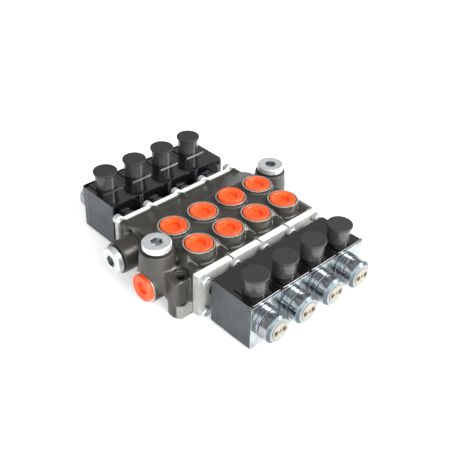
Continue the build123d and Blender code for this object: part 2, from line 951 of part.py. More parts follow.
one_spool = spool()
one_armature = armature()
one_pin = rod(pin_radius, armature_end, pin_end)
one_spring = coil_spring(spring_outer_radius, spring_wire, spring_turns, spool_end_station, pole_station)
for i, x in enumerate(section_xs):
    number = str(i + 1)
    write("spool_" + number, [bank(x, FAR) * one_spool])
    write("armatures_" + number, [bank(x, side) * one_armature for side, name in banks])
    write("override_pins_" + number, [bank(x, side) * one_pin for side, name in banks])
    for side, name in banks:
        write("centring_spring_" + name + "_" + number, [bank(x, side) * one_spring])

port_plug = transport_plug(port_plug_radius, counterbore_depth + port_plug_proud)
raised_port_plug = transport_plug(port_plug_radius, counterbore_depth + port_plug_proud + raised_plug_lift)
end_cap = transport_plug(end_plug_radius, end_plug_height)
plug_seat = Pos(0, 0, port_rim_height - counterbore_depth)
pressure_place = along_x(pressure_face_x, pressure_y, gallery_height, -1)
tank_place = along_x(tank_face_x, tank_y, gallery_height, 1)
orange_plugs = []
for i, place in enumerate(at_work_ports()):
    is_raised = i == 2 * raised_plug_section
    orange_plugs.append(place * plug_seat * (raised_port_plug if is_raised else port_plug))
orange_plugs += [pressure_place * end_cap, tank_place * end_cap]
write("transport_plugs", orange_plugs)

relief_place = Pos(relief_x, pressure_y, relief_top)
return_place = Pos(return_x, tank_y, return_top)
side_place = along_x(side_face_x, side_boss_y, side_boss_height, -1)
write(
    "steel_plugs",
    [
        relief_place * steel_plug(),
        return_place * steel_plug(),
        side_place * steel_plug(),
    ],
)
write("plug_seals", [place * bonded_seal() for place in (relief_place, return_place, side_place)])

relief_axis = Pos(relief_x, pressure_y, 0)
poppet_top = relief_seat_height + poppet_disc_thickness
plug_floor = relief_top - steel_shank_length
write("relief_poppet", [relief_axis * relief_poppet()])
relief_coil = coil_spring(relief_spring_radius, relief_spring_wire, spring_turns, poppet_top, plug_floor)
write("relief_spring", [relief_axis * relief_coil])
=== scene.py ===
from math import cos, pi, radians, sin
from typing import NamedTuple

import bmesh
import bpy
from mathutils import Matrix, Vector


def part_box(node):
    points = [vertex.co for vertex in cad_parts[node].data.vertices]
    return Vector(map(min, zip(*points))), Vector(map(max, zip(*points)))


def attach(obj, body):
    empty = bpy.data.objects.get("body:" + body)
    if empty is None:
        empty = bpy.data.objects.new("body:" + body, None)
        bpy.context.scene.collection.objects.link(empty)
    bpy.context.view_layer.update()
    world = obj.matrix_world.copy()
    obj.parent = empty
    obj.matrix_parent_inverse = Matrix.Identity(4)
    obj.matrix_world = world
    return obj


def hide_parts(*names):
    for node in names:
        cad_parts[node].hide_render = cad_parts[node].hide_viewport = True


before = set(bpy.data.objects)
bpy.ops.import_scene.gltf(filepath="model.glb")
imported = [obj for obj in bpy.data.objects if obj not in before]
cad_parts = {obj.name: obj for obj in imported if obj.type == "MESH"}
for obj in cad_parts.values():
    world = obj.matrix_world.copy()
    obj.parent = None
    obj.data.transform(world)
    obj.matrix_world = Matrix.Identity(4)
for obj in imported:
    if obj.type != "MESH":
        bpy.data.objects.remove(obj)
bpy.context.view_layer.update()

# The frame is in metres. MM turns a size in millimetres into metres.
MM = 0.001
NEAR = -1
FAR = 1
SIDES = (("near", NEAR), ("far", FAR))
NUMBERS = (1, 2, 3, 4)
BODY = "valve"


def corner(node, end):
    """One corner of a node's box in millimetres: 0 is the lowest and 1 the highest."""
    return Vector(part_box(node)[end]) / MM


def centre(node):
    return (corner(node, 0) + corner(node, 1)) / 2


# The far plates look thinner than the near ones by this much, in millimetres
FAR_PLATE_RELIEF = 2.0
# The mouldings stand over the coil frames by this much, in millimetres
COIL_LIP = 1.0

# Places read from the frame, in millimetres. A station is a distance outward along a spool's axis.
axis_height = centre("spool_1").z
section_x = [centre("spool_%d" % number).x for number in NUMBERS]
pitch = section_x[1] - section_x[0]
seam_x = [section_x[0] - pitch / 2 + i * pitch for i in range(len(NUMBERS) + 1)]
plate_face = corner("section_plates", 1).y
flange_face = corner("valve_body", 1).y
plate_faces = {NEAR: plate_face, FAR: plate_face - FAR_PLATE_RELIEF}
coil_start = corner("coil_moulding_far_1", 0).y
coil_end = corner("coil_end_plates", 1).y
spacer_end = corner("coil_spacers", 1).y
nut_end = corner("coil_nuts", 1).y
tube_end = corner("solenoid_tubes", 1).y
override_face = corner("override_plugs", 1).y
pin_end = corner("override_pins_1", 1).y
armature_end = corner("armatures_1", 1).y
foot_start = abs(corner("section_plates", 0).x)
coil_top = corner("coil_housing_near_1", 1).z + COIL_LIP
pad_height = corner("connector_cap_near_1", 0).z
cap_top = corner("connector_cap_near_1", 1).z
connector_station = centre("connector_cap_far_1").y


# A noise pattern seldom leaves the range between these values
MIDDLE_LOW = 0.3
MIDDLE_HIGH = 0.7
TONE_STOPS = (0.35, 0.65)


# Colours and finishes
def linear(code):
    """An sRGB hex colour as linear red, green, blue and alpha."""
    values = [int(code[i:i + 2], 16) / 255 for i in (1, 3, 5)]
    colour = [v / 12.92 if v <= 0.04045 else ((v + 0.055) / 1.055) ** 2.4 for v in values]
    return (*colour, 1.0)


def add(tree, kind, inputs=None, **settings):
    """Adds a node with its settings. An input takes a value, or another node's socket as a link."""
    node = tree.nodes.new(kind)
    for name, value in settings.items():
        setattr(node, name, value)
    for name, value in (inputs or {}).items():
        if isinstance(value, bpy.types.NodeSocket):
            tree.links.new(value, node.inputs[name])
        else:
            node.inputs[name].default_value = value
    return node


def per_metre(period_mm):
    """A pattern's scale from the real size of one repeat in millimetres."""
    return 1 / (period_mm * MM)


class Pattern(NamedTuple):
    """A cloudy pattern from 0 to 1, mostly near its middle.

    Shares of its scale along X, Y and Z that are below 1 draw it out along those axes.
    """

    period_mm: float
    detail: float
    roughness: float = 0.55
    shares: tuple = ()


def drawn_patterns(tree, patterns):
    """Draws each pattern once, in the object's own coordinates."""
    place = add(tree, "ShaderNodeTexCoord").outputs["Object"]
    drawn = {}
    for pattern in dict.fromkeys(patterns):
        inputs = {
            "Vector": place,
            "Scale": per_metre(pattern.period_mm),
            "Detail": pattern.detail,
            "Roughness": pattern.roughness,
        }
        if pattern.shares:
            stretch = add(tree, "ShaderNodeMapping", {"Vector": place, "Scale": pattern.shares})
            inputs["Vector"] = stretch.outputs["Vector"]
        drawn[pattern] = add(tree, "ShaderNodeTexNoise", inputs).outputs["Fac"]
    return drawn


def make_finish(name, colour, roughness=None, relief=None, values=None):
    """A material whose patterns mix two tones, vary the roughness and stand out in relief."""
    material = bpy.data.materials.new(name)
    material.use_nodes = True
    tree = material.node_tree
    tree.nodes.clear()
    uses = [use for use in (colour, roughness, relief) if use]
    drawn = drawn_patterns(tree, [use["pattern"] for use in uses])
    ramp = add(tree, "ShaderNodeValToRGB", {"Fac": drawn[colour["pattern"]]})
    for element, stop, tone in zip(ramp.color_ramp.elements, TONE_STOPS, colour["tones"]):
        element.position = stop
        element.color = linear(tone)
    inputs = {"Base Color": ramp.outputs["Color"], **(values or {})}
    if roughness:
        # The middle of the pattern is spread over the whole range of roughness
        spread = add(tree, "ShaderNodeMapRange", {
            "Value": drawn[roughness["pattern"]],
            "From Min": MIDDLE_LOW,
            "From Max": MIDDLE_HIGH,
            "To Min": roughness["low"],
            "To Max": roughness["high"],
        }, clamp=True)
        inputs["Roughness"] = spread.outputs["Result"]
    if relief:
        bump = add(tree, "ShaderNodeBump", {
            "Height": drawn[relief["pattern"]],
            "Distance": relief["depth_mm"] * MM,
            "Strength": relief["strength"],
        })
        inputs["Normal"] = bump.outputs["Normal"]
    shader = add(tree, "ShaderNodeBsdfPrincipled", inputs)
    add(tree, "ShaderNodeOutputMaterial", {"Surface": shader.outputs["BSDF"]})
    return material


def sand_cast_iron():
    """Phosphated grey iron from a sand mould: dark olive, softly grainy, with an oily sheen."""
    patches = Pattern(period_mm=20.0, detail=4.0)
    # The sand's grain is about 0.3 mm; it is drawn at 1.2 mm so that it shows
    grain = Pattern(period_mm=1.2, detail=5.0, roughness=0.65)
    return make_finish(
        "sand_cast_iron",
        colour=dict(pattern=patches, tones=("#2d2b26", "#383630")),
        roughness=dict(pattern=grain, low=0.26, high=0.44),
        relief=dict(pattern=grain, depth_mm=0.08, strength=0.6),
        values={"Metallic": 0.2, "Specular IOR Level": 0.62},
    )


def faced_iron():
    """Iron that was milled flat after casting: pale grey with fine tool marks."""
    marks = Pattern(period_mm=0.9, detail=2.0)
    return make_finish(
        "faced_iron",
        colour=dict(pattern=marks, tones=("#a0a099", "#c4c4bb")),
        roughness=dict(pattern=marks, low=0.3, high=0.45),
        relief=dict(pattern=marks, depth_mm=0.02, strength=0.5),
        values={"Metallic": 0.85},
    )


def pale_foot_iron():
    """Iron of the feet's lower fronts: paler and drier than the skin, with fine streaks."""
    scratches = Pattern(period_mm=1.2, detail=4.0, roughness=0.65, shares=(0.25, 1, 1))
    return make_finish(
        "pale_foot_iron",
        colour=dict(pattern=scratches, tones=("#74746f", "#8d8c87")),
        roughness=dict(pattern=scratches, low=0.4, high=0.6),
        relief=dict(pattern=scratches, depth_mm=0.05, strength=0.6),
        values={"Metallic": 0.3},
    )


def turned_zinc():
    """Zinc-plated steel from a lathe: bright and slightly blue, faintly clouded all over."""
    cloud = Pattern(period_mm=5.0, detail=4.0)
    # Turning marks are about 0.1 mm apart; they are drawn at 3 mm so that they show
    marks = Pattern(period_mm=3.0, detail=2.0)
    return make_finish(
        "turned_zinc",
        colour=dict(pattern=cloud, tones=("#858b8e", "#9a9e9f")),
        roughness=dict(pattern=cloud, low=0.16, high=0.26),
        relief=dict(pattern=marks, depth_mm=0.01, strength=0.3),
        values={"Metallic": 1.0},
    )


def painted_reflection_zinc():
    """Zinc of the nuts' chamfers, painted greyer, bluer and duller than their sides: a painted
    reflection.
    """
    cloud = Pattern(period_mm=3.0, detail=3.0)
    return make_finish(
        "painted_reflection_zinc",
        colour=dict(pattern=cloud, tones=("#4b555b", "#5c6468")),
        roughness=dict(pattern=cloud, low=0.32, high=0.42),
        values={"Metallic": 1.0},
    )


def tumbled_zinc():
    """Barrel-plated screw plugs: the same zinc with a satin, lightly scuffed face."""
    scuffs = Pattern(period_mm=2.2, detail=5.0, roughness=0.65)
    return make_finish(
        "tumbled_zinc",
        colour=dict(pattern=scuffs, tones=("#bdc2c3", "#d3d6d5")),
        roughness=dict(pattern=scuffs, low=0.28, high=0.42),
        relief=dict(pattern=scuffs, depth_mm=0.01, strength=0.4),
        values={"Metallic": 0.7},
    )


def lit_top_zinc():
    """Zinc of the plates' tops and bottoms, painted paler than their fronts and ends: painted light
    from above, pale and smooth.
    """
    cloud = Pattern(period_mm=8.0, detail=4.0)
    grain = Pattern(period_mm=0.5, detail=2.0)
    return make_finish(
        "lit_top_zinc",
        colour=dict(pattern=cloud, tones=("#d9d9d5", "#e6e5e1")),
        roughness=dict(pattern=cloud, low=0.36, high=0.48),
        relief=dict(pattern=grain, depth_mm=0.012, strength=0.5),
        values={"Metallic": 0.2},
    )


def shaded_side_zinc():
    """Zinc of the plates' fronts and ends, painted greyer than their tops as painted shade, with a
    fine drag from the blade.
    """
    cloud = Pattern(period_mm=8.0, detail=4.0)
    # The blade's marks are about 0.2 mm apart; they are drawn at 0.7 mm so that they show
    drag = Pattern(period_mm=0.7, detail=3.0, shares=(1, 1, 0.2))
    return make_finish(
        "shaded_side_zinc",
        colour=dict(pattern=cloud, tones=("#9d9e9b", "#b0b1ae")),
        roughness=dict(pattern=drag, low=0.4, high=0.55),
        relief=dict(pattern=drag, depth_mm=0.02, strength=0.5),
        values={"Metallic": 0.2},
    )


def bright_zinc_plate():
    """Bright-plated end plates of the coils: nearly a mirror, with a faint waviness."""
    cloud = Pattern(period_mm=9.0, detail=4.0)
    waves = Pattern(period_mm=4.0, detail=2.0)
    return make_finish(
        "bright_zinc_plate",
        colour=dict(pattern=cloud, tones=("#8c9398", "#a8afb3")),
        roughness=dict(pattern=cloud, low=0.1, high=0.2),
        relief=dict(pattern=waves, depth_mm=0.03, strength=0.35),
        values={"Metallic": 1.0},
    )


def blued_coil_steel():
    """Dark passivated sheet of the coil frames: blue grey, with a rolling grain along it."""
    cloud = Pattern(period_mm=14.0, detail=4.0)
    rolled = Pattern(period_mm=0.9, detail=3.0, shares=(1, 0.08, 1))
    return make_finish(
        "blued_coil_steel",
        colour=dict(pattern=cloud, tones=("#3c4144", "#4a4e51")),
        roughness=dict(pattern=rolled, low=0.3, high=0.46),
        relief=dict(pattern=rolled, depth_mm=0.012, strength=0.4),
        values={"Metallic": 0.6},
    )


def polished_nylon():
    """Black glass-filled nylon from a polished mould: it mirrors what is above it."""
    flow = Pattern(period_mm=9.0, detail=3.0)
    return make_finish(
        "polished_nylon",
        colour=dict(pattern=flow, tones=("#050506", "#0a0a0b")),
        roughness=dict(pattern=flow, low=0.08, high=0.18),
        relief=dict(pattern=flow, depth_mm=0.03, strength=0.25),
        values={"Specular IOR Level": 0.85, "IOR": 1.53},
    )


def smooth_cap_plastic():
    """Black polyethylene of the cap's skirt: softer and greyer than nylon, with a waxy gloss."""
    flow = Pattern(period_mm=5.0, detail=3.0)
    return make_finish(
        "smooth_cap_plastic",
        colour=dict(pattern=flow, tones=("#2b2b2b", "#383838")),
        roughness=dict(pattern=flow, low=0.16, high=0.28),
        relief=dict(pattern=flow, depth_mm=0.03, strength=0.3),
        values={"IOR": 1.51},
    )


def grained_cap_plastic():
    """Spark-eroded cap top in black polyethylene: a dull, finely grained charcoal."""
    # The grain is about 0.2 mm; it is drawn at 0.7 mm so that it shows
    grain = Pattern(period_mm=0.7, detail=4.0, roughness=0.7)
    return make_finish(
        "grained_cap_plastic",
        colour=dict(pattern=grain, tones=("#171717", "#21221f")),
        roughness=dict(pattern=grain, low=0.5, high=0.7),
        relief=dict(pattern=grain, depth_mm=0.06, strength=0.8),
        values={"IOR": 1.51},
    )


def orange_polyethylene():
    """Soft moulded polyethylene plug: saturated orange that light sinks into a little."""
    flow = Pattern(period_mm=6.0, detail=3.0)
    grain = Pattern(period_mm=1.2, detail=2.0)
    return make_finish(
        "orange_polyethylene",
        colour=dict(pattern=flow, tones=("#e8440e", "#f05016")),
        roughness=dict(pattern=flow, low=0.34, high=0.46),
        relief=dict(pattern=grain, depth_mm=0.03, strength=0.4),
        values={
            "IOR": 1.51,
            "Subsurface Weight": 0.1,
            "Subsurface Radius": (3 * MM, 1.2 * MM, 0.5 * MM),
        },
    )


def cream_acetal():
    """Turned acetal end plug: warm white with a soft gloss."""
    flow = Pattern(period_mm=4.0, detail=3.0)
    return make_finish(
        "cream_acetal",
        colour=dict(pattern=flow, tones=("#736e61", "#7e7a6f")),
        roughness=dict(pattern=flow, low=0.25, high=0.38),
        relief=dict(pattern=flow, depth_mm=0.01, strength=0.3),
        values={"IOR": 1.48},
    )


def nitrile_rubber():
    """Moulded nitrile seal: black and matte, with a trace of bloom."""
    bloom = Pattern(period_mm=2.5, detail=4.0)
    return make_finish(
        "nitrile_rubber",
        colour=dict(pattern=bloom, tones=("#141414", "#20201f")),
        roughness=dict(pattern=bloom, low=0.5, high=0.7),
        relief=dict(pattern=bloom, depth_mm=0.02, strength=0.4),
        values={"IOR": 1.52},
    )


def shaded_tube_steel():
    """Turned steel of the solenoid tubes, drawn dark grey with a wet-looking sheen: painted shade
    for the gap between the plates and the coils.
    """
    film = Pattern(period_mm=3.0, detail=4.0)
    return make_finish(
        "shaded_tube_steel",
        colour=dict(pattern=film, tones=("#26282a", "#36393b")),
        roughness=dict(pattern=film, low=0.22, high=0.38),
        relief=dict(pattern=film, depth_mm=0.01, strength=0.3),
        values={"Metallic": 0.9},
    )


def ground_steel():
    """Hardened and ground steel of spools and pins: bright, with grinding lines round it."""
    lines = Pattern(period_mm=0.4, detail=2.0, shares=(0.1, 1, 0.1))
    return make_finish(
        "ground_steel",
        colour=dict(pattern=lines, tones=("#b9bbbd", "#cdcfd0")),
        roughness=dict(pattern=lines, low=0.12, high=0.24),
        values={"Metallic": 1.0},
    )


def enamelled_copper():
    """Enamelled winding wire: reddish copper, banded by its turns of 0.6 mm wire."""
    turns = Pattern(period_mm=0.6, detail=2.0, shares=(0.1, 1, 0.1))
    return make_finish(
        "enamelled_copper",
        colour=dict(pattern=turns, tones=("#a8532c", "#c8703f")),
        roughness=dict(pattern=turns, low=0.25, high=0.4),
        relief=dict(pattern=turns, depth_mm=0.1, strength=0.6),
        values={"Metallic": 1.0},
    )


def tinned_brass():
    """Tinned brass contact pins: pale gold and bright."""
    cloud = Pattern(period_mm=1.5, detail=3.0)
    return make_finish(
        "tinned_brass",
        colour=dict(pattern=cloud, tones=("#c9b98a", "#ddd2ae")),
        roughness=dict(pattern=cloud, low=0.2, high=0.32),
        values={"Metallic": 1.0},
    )


# The floor's own light, as a share of the white around it
FLOOR_GLOW = 0.3
# The floor's dull finish; a gloss would mirror the valve's underside
FLOOR_ROUGHNESS = 0.9


def lit_acrylic():
    """Opal acrylic of a light table: white and matte, with a glow that softens the shadows."""
    roller = Pattern(period_mm=3.0, detail=3.0)
    return make_finish(
        "lit_acrylic",
        colour=dict(pattern=roller, tones=("#f6f6f6", "#f9f9f9")),
        values={
            "Roughness": FLOOR_ROUGHNESS,
            "Emission Color": linear("#ffffff"),
            "Emission Strength": FLOOR_GLOW,
        },
    )


CAST = sand_cast_iron()
FACED = faced_iron()
PALE_FOOT_IRON = pale_foot_iron()
ZINC = turned_zinc()
PAINTED_REFLECTION_ZINC = painted_reflection_zinc()
PLUG_ZINC = tumbled_zinc()
LIT_TOP_ZINC = lit_top_zinc()
SHADED_SIDE_ZINC = shaded_side_zinc()
END_ZINC = bright_zinc_plate()
COIL_STEEL = blued_coil_steel()
NYLON = polished_nylon()
CAP_SKIRT = smooth_cap_plastic()
CAP_TOP = grained_cap_plastic()
ORANGE = orange_polyethylene()
CREAM = cream_acetal()
RUBBER = nitrile_rubber()
STEEL = ground_steel()
SHADED_TUBE_STEEL = shaded_tube_steel()
COPPER = enamelled_copper()
BRASS = tinned_brass()


def dress(node, material):
    """Gives a carried-over node its finish."""
    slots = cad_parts[node].data.materials
    slots.clear()
    slots.append(material)


# Places of pieces that are drawn about Z, in millimetres
def frame_at(origin, x_axis, z_axis):
    """A place with its own X and Z directions."""
    x_axis = Vector(x_axis)
    z_axis = Vector(z_axis)
    axes = Matrix((x_axis, z_axis.cross(x_axis), z_axis)).transposed().to_4x4()
    return Matrix.Translation(origin) @ axes


def standing(x, y, z):
    return frame_at((x, y, z), (1, 0, 0), (0, 0, 1))


def outward(x, side, height=0.0):
    """Z runs outward along a spool's axis from the middle plane, and Y is up."""
    return frame_at((x, 0, axis_height + height), (-side, 0, 0), (0, side, 0))


def sideways(x, y, z, direction):
    """Z runs along X, away from the body's end."""
    return frame_at((x, y, z), (0, direction, 0), (direction, 0, 0))


# Making pieces. Points round a turned piece: a multiple of 6, so that hexagons keep their corners.
SEGMENTS = 60
# An eased corner takes up at most this share of the lines that meet in it
EASE_SHARE = 0.45
KNURL_DEPTH = 0.25
# A chamfered hexagon's corners reach this far, in halves of its width across flats
HEXAGON_CORNER = 1.11
# Points of a node's mesh that lie closer than this are one point
MERGE_DISTANCE = 0.002 * MM
# Faces that meet at less than this are one flat face
FLAT_ANGLE = radians(0.5)
# Edges sharper than this are eased
BEVEL_ANGLE = radians(35)
BEVEL_STEPS = 3
# Edges sharper than this stay crisp in the shading
SHARP_ANGLE = radians(40)


def reach(outline, size, index):
    """How far a point of an outline lies from the axis: sizes are radii, or widths across flats."""
    turn = 2 * pi * index / SEGMENTS
    flat = size / 2 / cos(turn % (pi / 3) - pi / 6)
    if outline == "hexagon":
        return flat
    if outline == "eased_hexagon":
        return min(flat, size / 2 * HEXAGON_CORNER)
    if outline == "knurl":
        return size - KNURL_DEPTH * (index % 2)
    return size


def eased(profile, radius, steps=3):
    """Rounds the corners of a profile, except where its outline changes."""
    stations = [station if len(station) == 3 else (*station, "round") for station in profile]
    result = []
    for i, station in enumerate(stations):
        inner = 0 < i < len(stations) - 1
        if not inner or not stations[i - 1][2] == station[2] == stations[i + 1][2]:
            result.append(station)
            continue
        here = Vector(station[:2])
        before = Vector(stations[i - 1][:2]) - here
        after = Vector(stations[i + 1][:2]) - here
        cut = min(radius, before.length * EASE_SHARE, after.length * EASE_SHARE)
        start = here + before.normalized() * cut
        end = here + after.normalized() * cut
        for step in range(steps + 1):
            t = step / steps
            spot = (1 - t) ** 2 * start + 2 * t * (1 - t) * here + t ** 2 * end
            result.append((spot.x, spot.y, station[2]))
    return result


def station_ring(shape, place, size, height, outline):
    """The points of one station of a turned piece."""
    if size == 0:
        return [shape.verts.new(place @ Vector((0, 0, height)) * MM)]
    points = []
    for i in range(SEGMENTS):
        turn = 2 * pi * i / SEGMENTS
        distance = reach(outline, size, i)
        spot = Vector((distance * cos(turn), distance * sin(turn), height))
        points.append(shape.verts.new(place @ spot * MM))
    return points


def turned(profile, places, closed=False, is_second=None):
    """A mesh of one turned piece at each place.

    is_second takes two neighbouring stations and says whether the band between them
    has the second finish.
    """
    shape = bmesh.new()
    for place in places:
        rings = [station_ring(shape, place, *station) for station in profile]
        stations = list(profile)
        if closed:
            rings.append(rings[0])
            stations.append(stations[0])
        for i, (low, high) in enumerate(zip(rings, rings[1:])):
            for a in range(SEGMENTS):
                b = (a + 1) % SEGMENTS
                # A station on the axis is one point, and its band is made of triangles
                corners = [
                    low[a % len(low)],
                    low[b % len(low)],
                    high[b % len(high)],
                    high[a % len(high)],
                ]
                face = shape.faces.new(list(dict.fromkeys(corners)))
                if is_second and is_second(stations[i], stations[i + 1]):
                    face.material_index = 1
    bmesh.ops.recalc_face_normals(shape, faces=shape.faces)
    return to_mesh(shape)


def to_mesh(shape):
    """Turns an edit mesh into a mesh of its own."""
    mesh = bpy.data.meshes.new("piece")
    shape.to_mesh(mesh)
    shape.free()
    return mesh


def blocks(spans):
    """A mesh of blocks, each from its lowest and highest X, Y and Z."""
    shape = bmesh.new()
    for x0, x1, y0, y1, z0, z1 in spans:
        middle = Vector(((x0 + x1) / 2, (y0 + y1) / 2, (z0 + z1) / 2)) * MM
        size = Matrix.Diagonal(((x1 - x0) * MM, (y1 - y0) * MM, (z1 - z0) * MM, 1))
        bmesh.ops.create_cube(shape, size=1, matrix=Matrix.Translation(middle) @ size)
    return to_mesh(shape)


def apply_modifiers(piece):
    """Makes a mesh of what the modifiers show, and removes them."""
    depsgraph = bpy.context.evaluated_depsgraph_get()
    mesh = bpy.data.meshes.new_from_object(piece.evaluated_get(depsgraph))
    piece.modifiers.clear()
    piece.data = mesh


def add_piece(name, mesh, finishes, body=BODY, replaced=()):
    """Links a piece, gives it even shading and its finishes, and ties it to a body."""
    mesh.name = name
    piece = bpy.data.objects.new(name, mesh)
    bpy.context.scene.collection.objects.link(piece)
    if mesh.materials:
        mesh.materials.clear()
    for finish in finishes:
        mesh.materials.append(finish)
    mesh.shade_smooth()
    mesh.set_sharp_from_angle(angle=SHARP_ANGLE)
    even = piece.modifiers.new("even_shading", "WEIGHTED_NORMAL")
    even.keep_sharp = True
    apply_modifiers(piece)
    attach(piece, body)
    if replaced:
        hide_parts(*replaced)
    return piece


def merged_copy(node):
    """A node's own mesh with its flat faces joined, ready for its edges to be eased."""
    shape = bmesh.new()
    shape.from_mesh(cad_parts[node].data)
    bmesh.ops.remove_doubles(shape, verts=shape.verts, dist=MERGE_DISTANCE)
    bmesh.ops.dissolve_limit(
        shape,
        angle_limit=FLAT_ANGLE,
        verts=shape.verts,
        edges=shape.edges,
    )
    return to_mesh(shape)


def linked(mesh):
    """An object that holds a mesh while modifiers work on it."""
    holder = bpy.data.objects.new("holder", mesh)
    bpy.context.scene.collection.objects.link(holder)
    return holder


def unlinked(holder):
    """Applies the modifiers, removes the object and returns its mesh."""
    apply_modifiers(holder)
    mesh = holder.data
    bpy.data.objects.remove(holder)
    return mesh


def ease_edges(holder, edge):
    """Rounds the sharp edges over a width in millimetres."""
    bevel = holder.modifiers.new("eased_edges", "BEVEL")
    bevel.width = edge * MM
    bevel.segments = BEVEL_STEPS
    bevel.limit_method = "ANGLE"
    bevel.angle_limit = BEVEL_ANGLE
    bevel.use_clamp_overlap = True


def cut_away(mesh, cutter_mesh, edge):
    """Cuts one mesh out of another and eases the edges that are left."""
    holder = linked(mesh)
    cutter = linked(cutter_mesh)
    cut = holder.modifiers.new("cut", "BOOLEAN")
    cut.operation = "DIFFERENCE"
    cut.object = cutter
    cut.solver = "EXACT"
    ease_edges(holder, edge)
    result = unlinked(holder)
    bpy.data.objects.remove(cutter)
    return result


def eased_node(name, node, edge, finish):
    """Replaces a node by a copy with eased edges, as tumbling or a mould leaves them."""
    holder = linked(merged_copy(node))
    ease_edges(holder, edge)
    return add_piece(name, unlinked(holder), [finish], replaced=[node])


# The casting: the solid's own shape with the round edges and fillets that a sand mould leaves.
# Sizes in millimetres, then how far and how often the skin is smoothed and what share is kept.
VOXEL = 0.9
FILLET_STRENGTH = 0.5
FILLET_ROUNDS = 7
SKIN_KEPT = 0.45

# Each foot's front: a sunk panel with round ends above a paler lower part
PANEL_X = (-90.5, 87.5)
PANEL_RADIUS = 4.5
PANEL_FRONT = -60.0
PANEL_FLOOR = -51.8
PANEL_LOW = 19.5
PANEL_HIGH = (37.5, 27.0)
PANEL_POINTS = 24
PALE_HEIGHT = 16.0
PALE_FRONT = -50.0
# The paler faces look towards -Y at least this squarely
PALE_SLOPE = -0.5


def sunk_panels():
    """Cutters with round ends, drawn in XZ and carried along Y.

    Their faces are made one by one, because Blender's extrusion orders them anew each run.
    """
    shape = bmesh.new()
    for x, high in zip(PANEL_X, PANEL_HIGH):
        rims = []
        for y in (PANEL_FRONT, PANEL_FLOOR):
            rim = []
            for i in range(PANEL_POINTS):
                turn = 2 * pi * (i + 0.5) / PANEL_POINTS
                z = (high if sin(turn) > 0 else PANEL_LOW) + PANEL_RADIUS * sin(turn)
                rim.append(shape.verts.new(Vector((x + PANEL_RADIUS * cos(turn), y, z)) * MM))
            shape.faces.new(rim)
            rims.append(rim)
        front, floor = rims
        for a in range(PANEL_POINTS):
            b = (a + 1) % PANEL_POINTS
            shape.faces.new((front[a], front[b], floor[b], floor[a]))
    bmesh.ops.recalc_face_normals(shape, faces=shape.faces)
    return to_mesh(shape)


def casting():
    """Wraps the body's solid in a smoothed skin, sinks the panels and gives the feet's lower fronts
    the paler iron.
    """
    holder = linked(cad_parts["valve_body"].data.copy())
    skin = holder.modifiers.new("sand_skin", "REMESH")
    skin.mode = "VOXEL"
    skin.voxel_size = VOXEL * MM
    cutter = linked(sunk_panels())
    panels = holder.modifiers.new("panels", "BOOLEAN")
    panels.operation = "DIFFERENCE"
    panels.object = cutter
    panels.solver = "EXACT"
    fillets = holder.modifiers.new("fillets", "SMOOTH")
    fillets.factor = FILLET_STRENGTH
    fillets.iterations = FILLET_ROUNDS
    lighter = holder.modifiers.new("lighter", "DECIMATE")
    lighter.ratio = SKIN_KEPT
    mesh = unlinked(holder)
    bpy.data.objects.remove(cutter)
    body = add_piece("body_casting", mesh, [CAST, PALE_FOOT_IRON], replaced=["valve_body"])
    for face in body.data.polygons:
        spot = face.center / MM
        front = spot.y < PALE_FRONT and face.normal.y < PALE_SLOPE
        if front and spot.z < PALE_HEIGHT and abs(spot.x) > foot_start:
            face.material_index = 1


casting()

# Places of the bosses and plugs, in millimetres
PORT_RIM = 62.4
PORT_ROWS = (0.2, -37.0)
PRESSURE_Y = -18.7
TANK_Y = 18.5
GALLERY_HEIGHT = 25.4
SIDE_BOSS_Y = 29.5
SIDE_BOSS_HEIGHT = 28.8
SIDE_FACE = -104.5
RETURN_X = 96.0
RETURN_FACE = 54.5
END_PLUG_HEIGHT = 3.6
relief_x = centre("relief_poppet").x
relief_face = corner("valve_body", 1).z
pressure_face = corner("transport_plugs", 0).x + END_PLUG_HEIGHT
tank_face = corner("transport_plugs", 1).x - END_PLUG_HEIGHT

port_places = [(x, y) for x in section_x for y in PORT_ROWS]
relief_place = standing(relief_x, PRESSURE_Y, relief_face)
return_place = standing(RETURN_X, TANK_Y, RETURN_FACE)
side_place = sideways(SIDE_FACE, SIDE_BOSS_Y, SIDE_BOSS_HEIGHT, -1)
pressure_place = sideways(pressure_face, PRESSURE_Y, GALLERY_HEIGHT, -1)
tank_place = sideways(tank_face, TANK_Y, GALLERY_HEIGHT, 1)
steel_places = [relief_place, return_place, side_place]

# Machined faces: the ring that a cutter leaves on each rough boss, bright on the ports and the ends
FACE_DEPTH = 0.9
FACE_PROUD = 0.03
FACE_INSET = 0.3
PORT_BOSS = 16.25
CORNER_BOSS = 16.3
END_BOSS = 16.5
COUNTERBORE = 14.3
COUNTERBORE_DEPTH = 1.5
PORT_THREAD = 9.3
FACE_EASE = 0.15


def faced_ring(outer, inner):
    outside = outer - FACE_INSET
    return eased(
        [
            (inner, -FACE_DEPTH),
            (inner, FACE_PROUD),
            (outside, FACE_PROUD),
            (outside, -FACE_DEPTH),
        ],
        FACE_EASE,
    )


def machined_faces():
    rims = [standing(x, y, PORT_RIM) for x, y in port_places]
    floors = [standing(x, y, PORT_RIM - COUNTERBORE_DEPTH) for x, y in port_places]
    groups = (
        ("port_rims", PORT_BOSS, COUNTERBORE, rims, FACED),
        ("port_seats", COUNTERBORE, PORT_THREAD, floors, FACED),
        ("corner_boss_faces", CORNER_BOSS, PORT_THREAD, steel_places, CAST),
        ("end_boss_faces", END_BOSS, PORT_THREAD, [pressure_place, tank_place], FACED),
    )
    for name, outer, inner, places, finish in groups:
        rings = turned(faced_ring(outer, inner), places, True)
        add_piece(name, rings, [finish])


machined_faces()

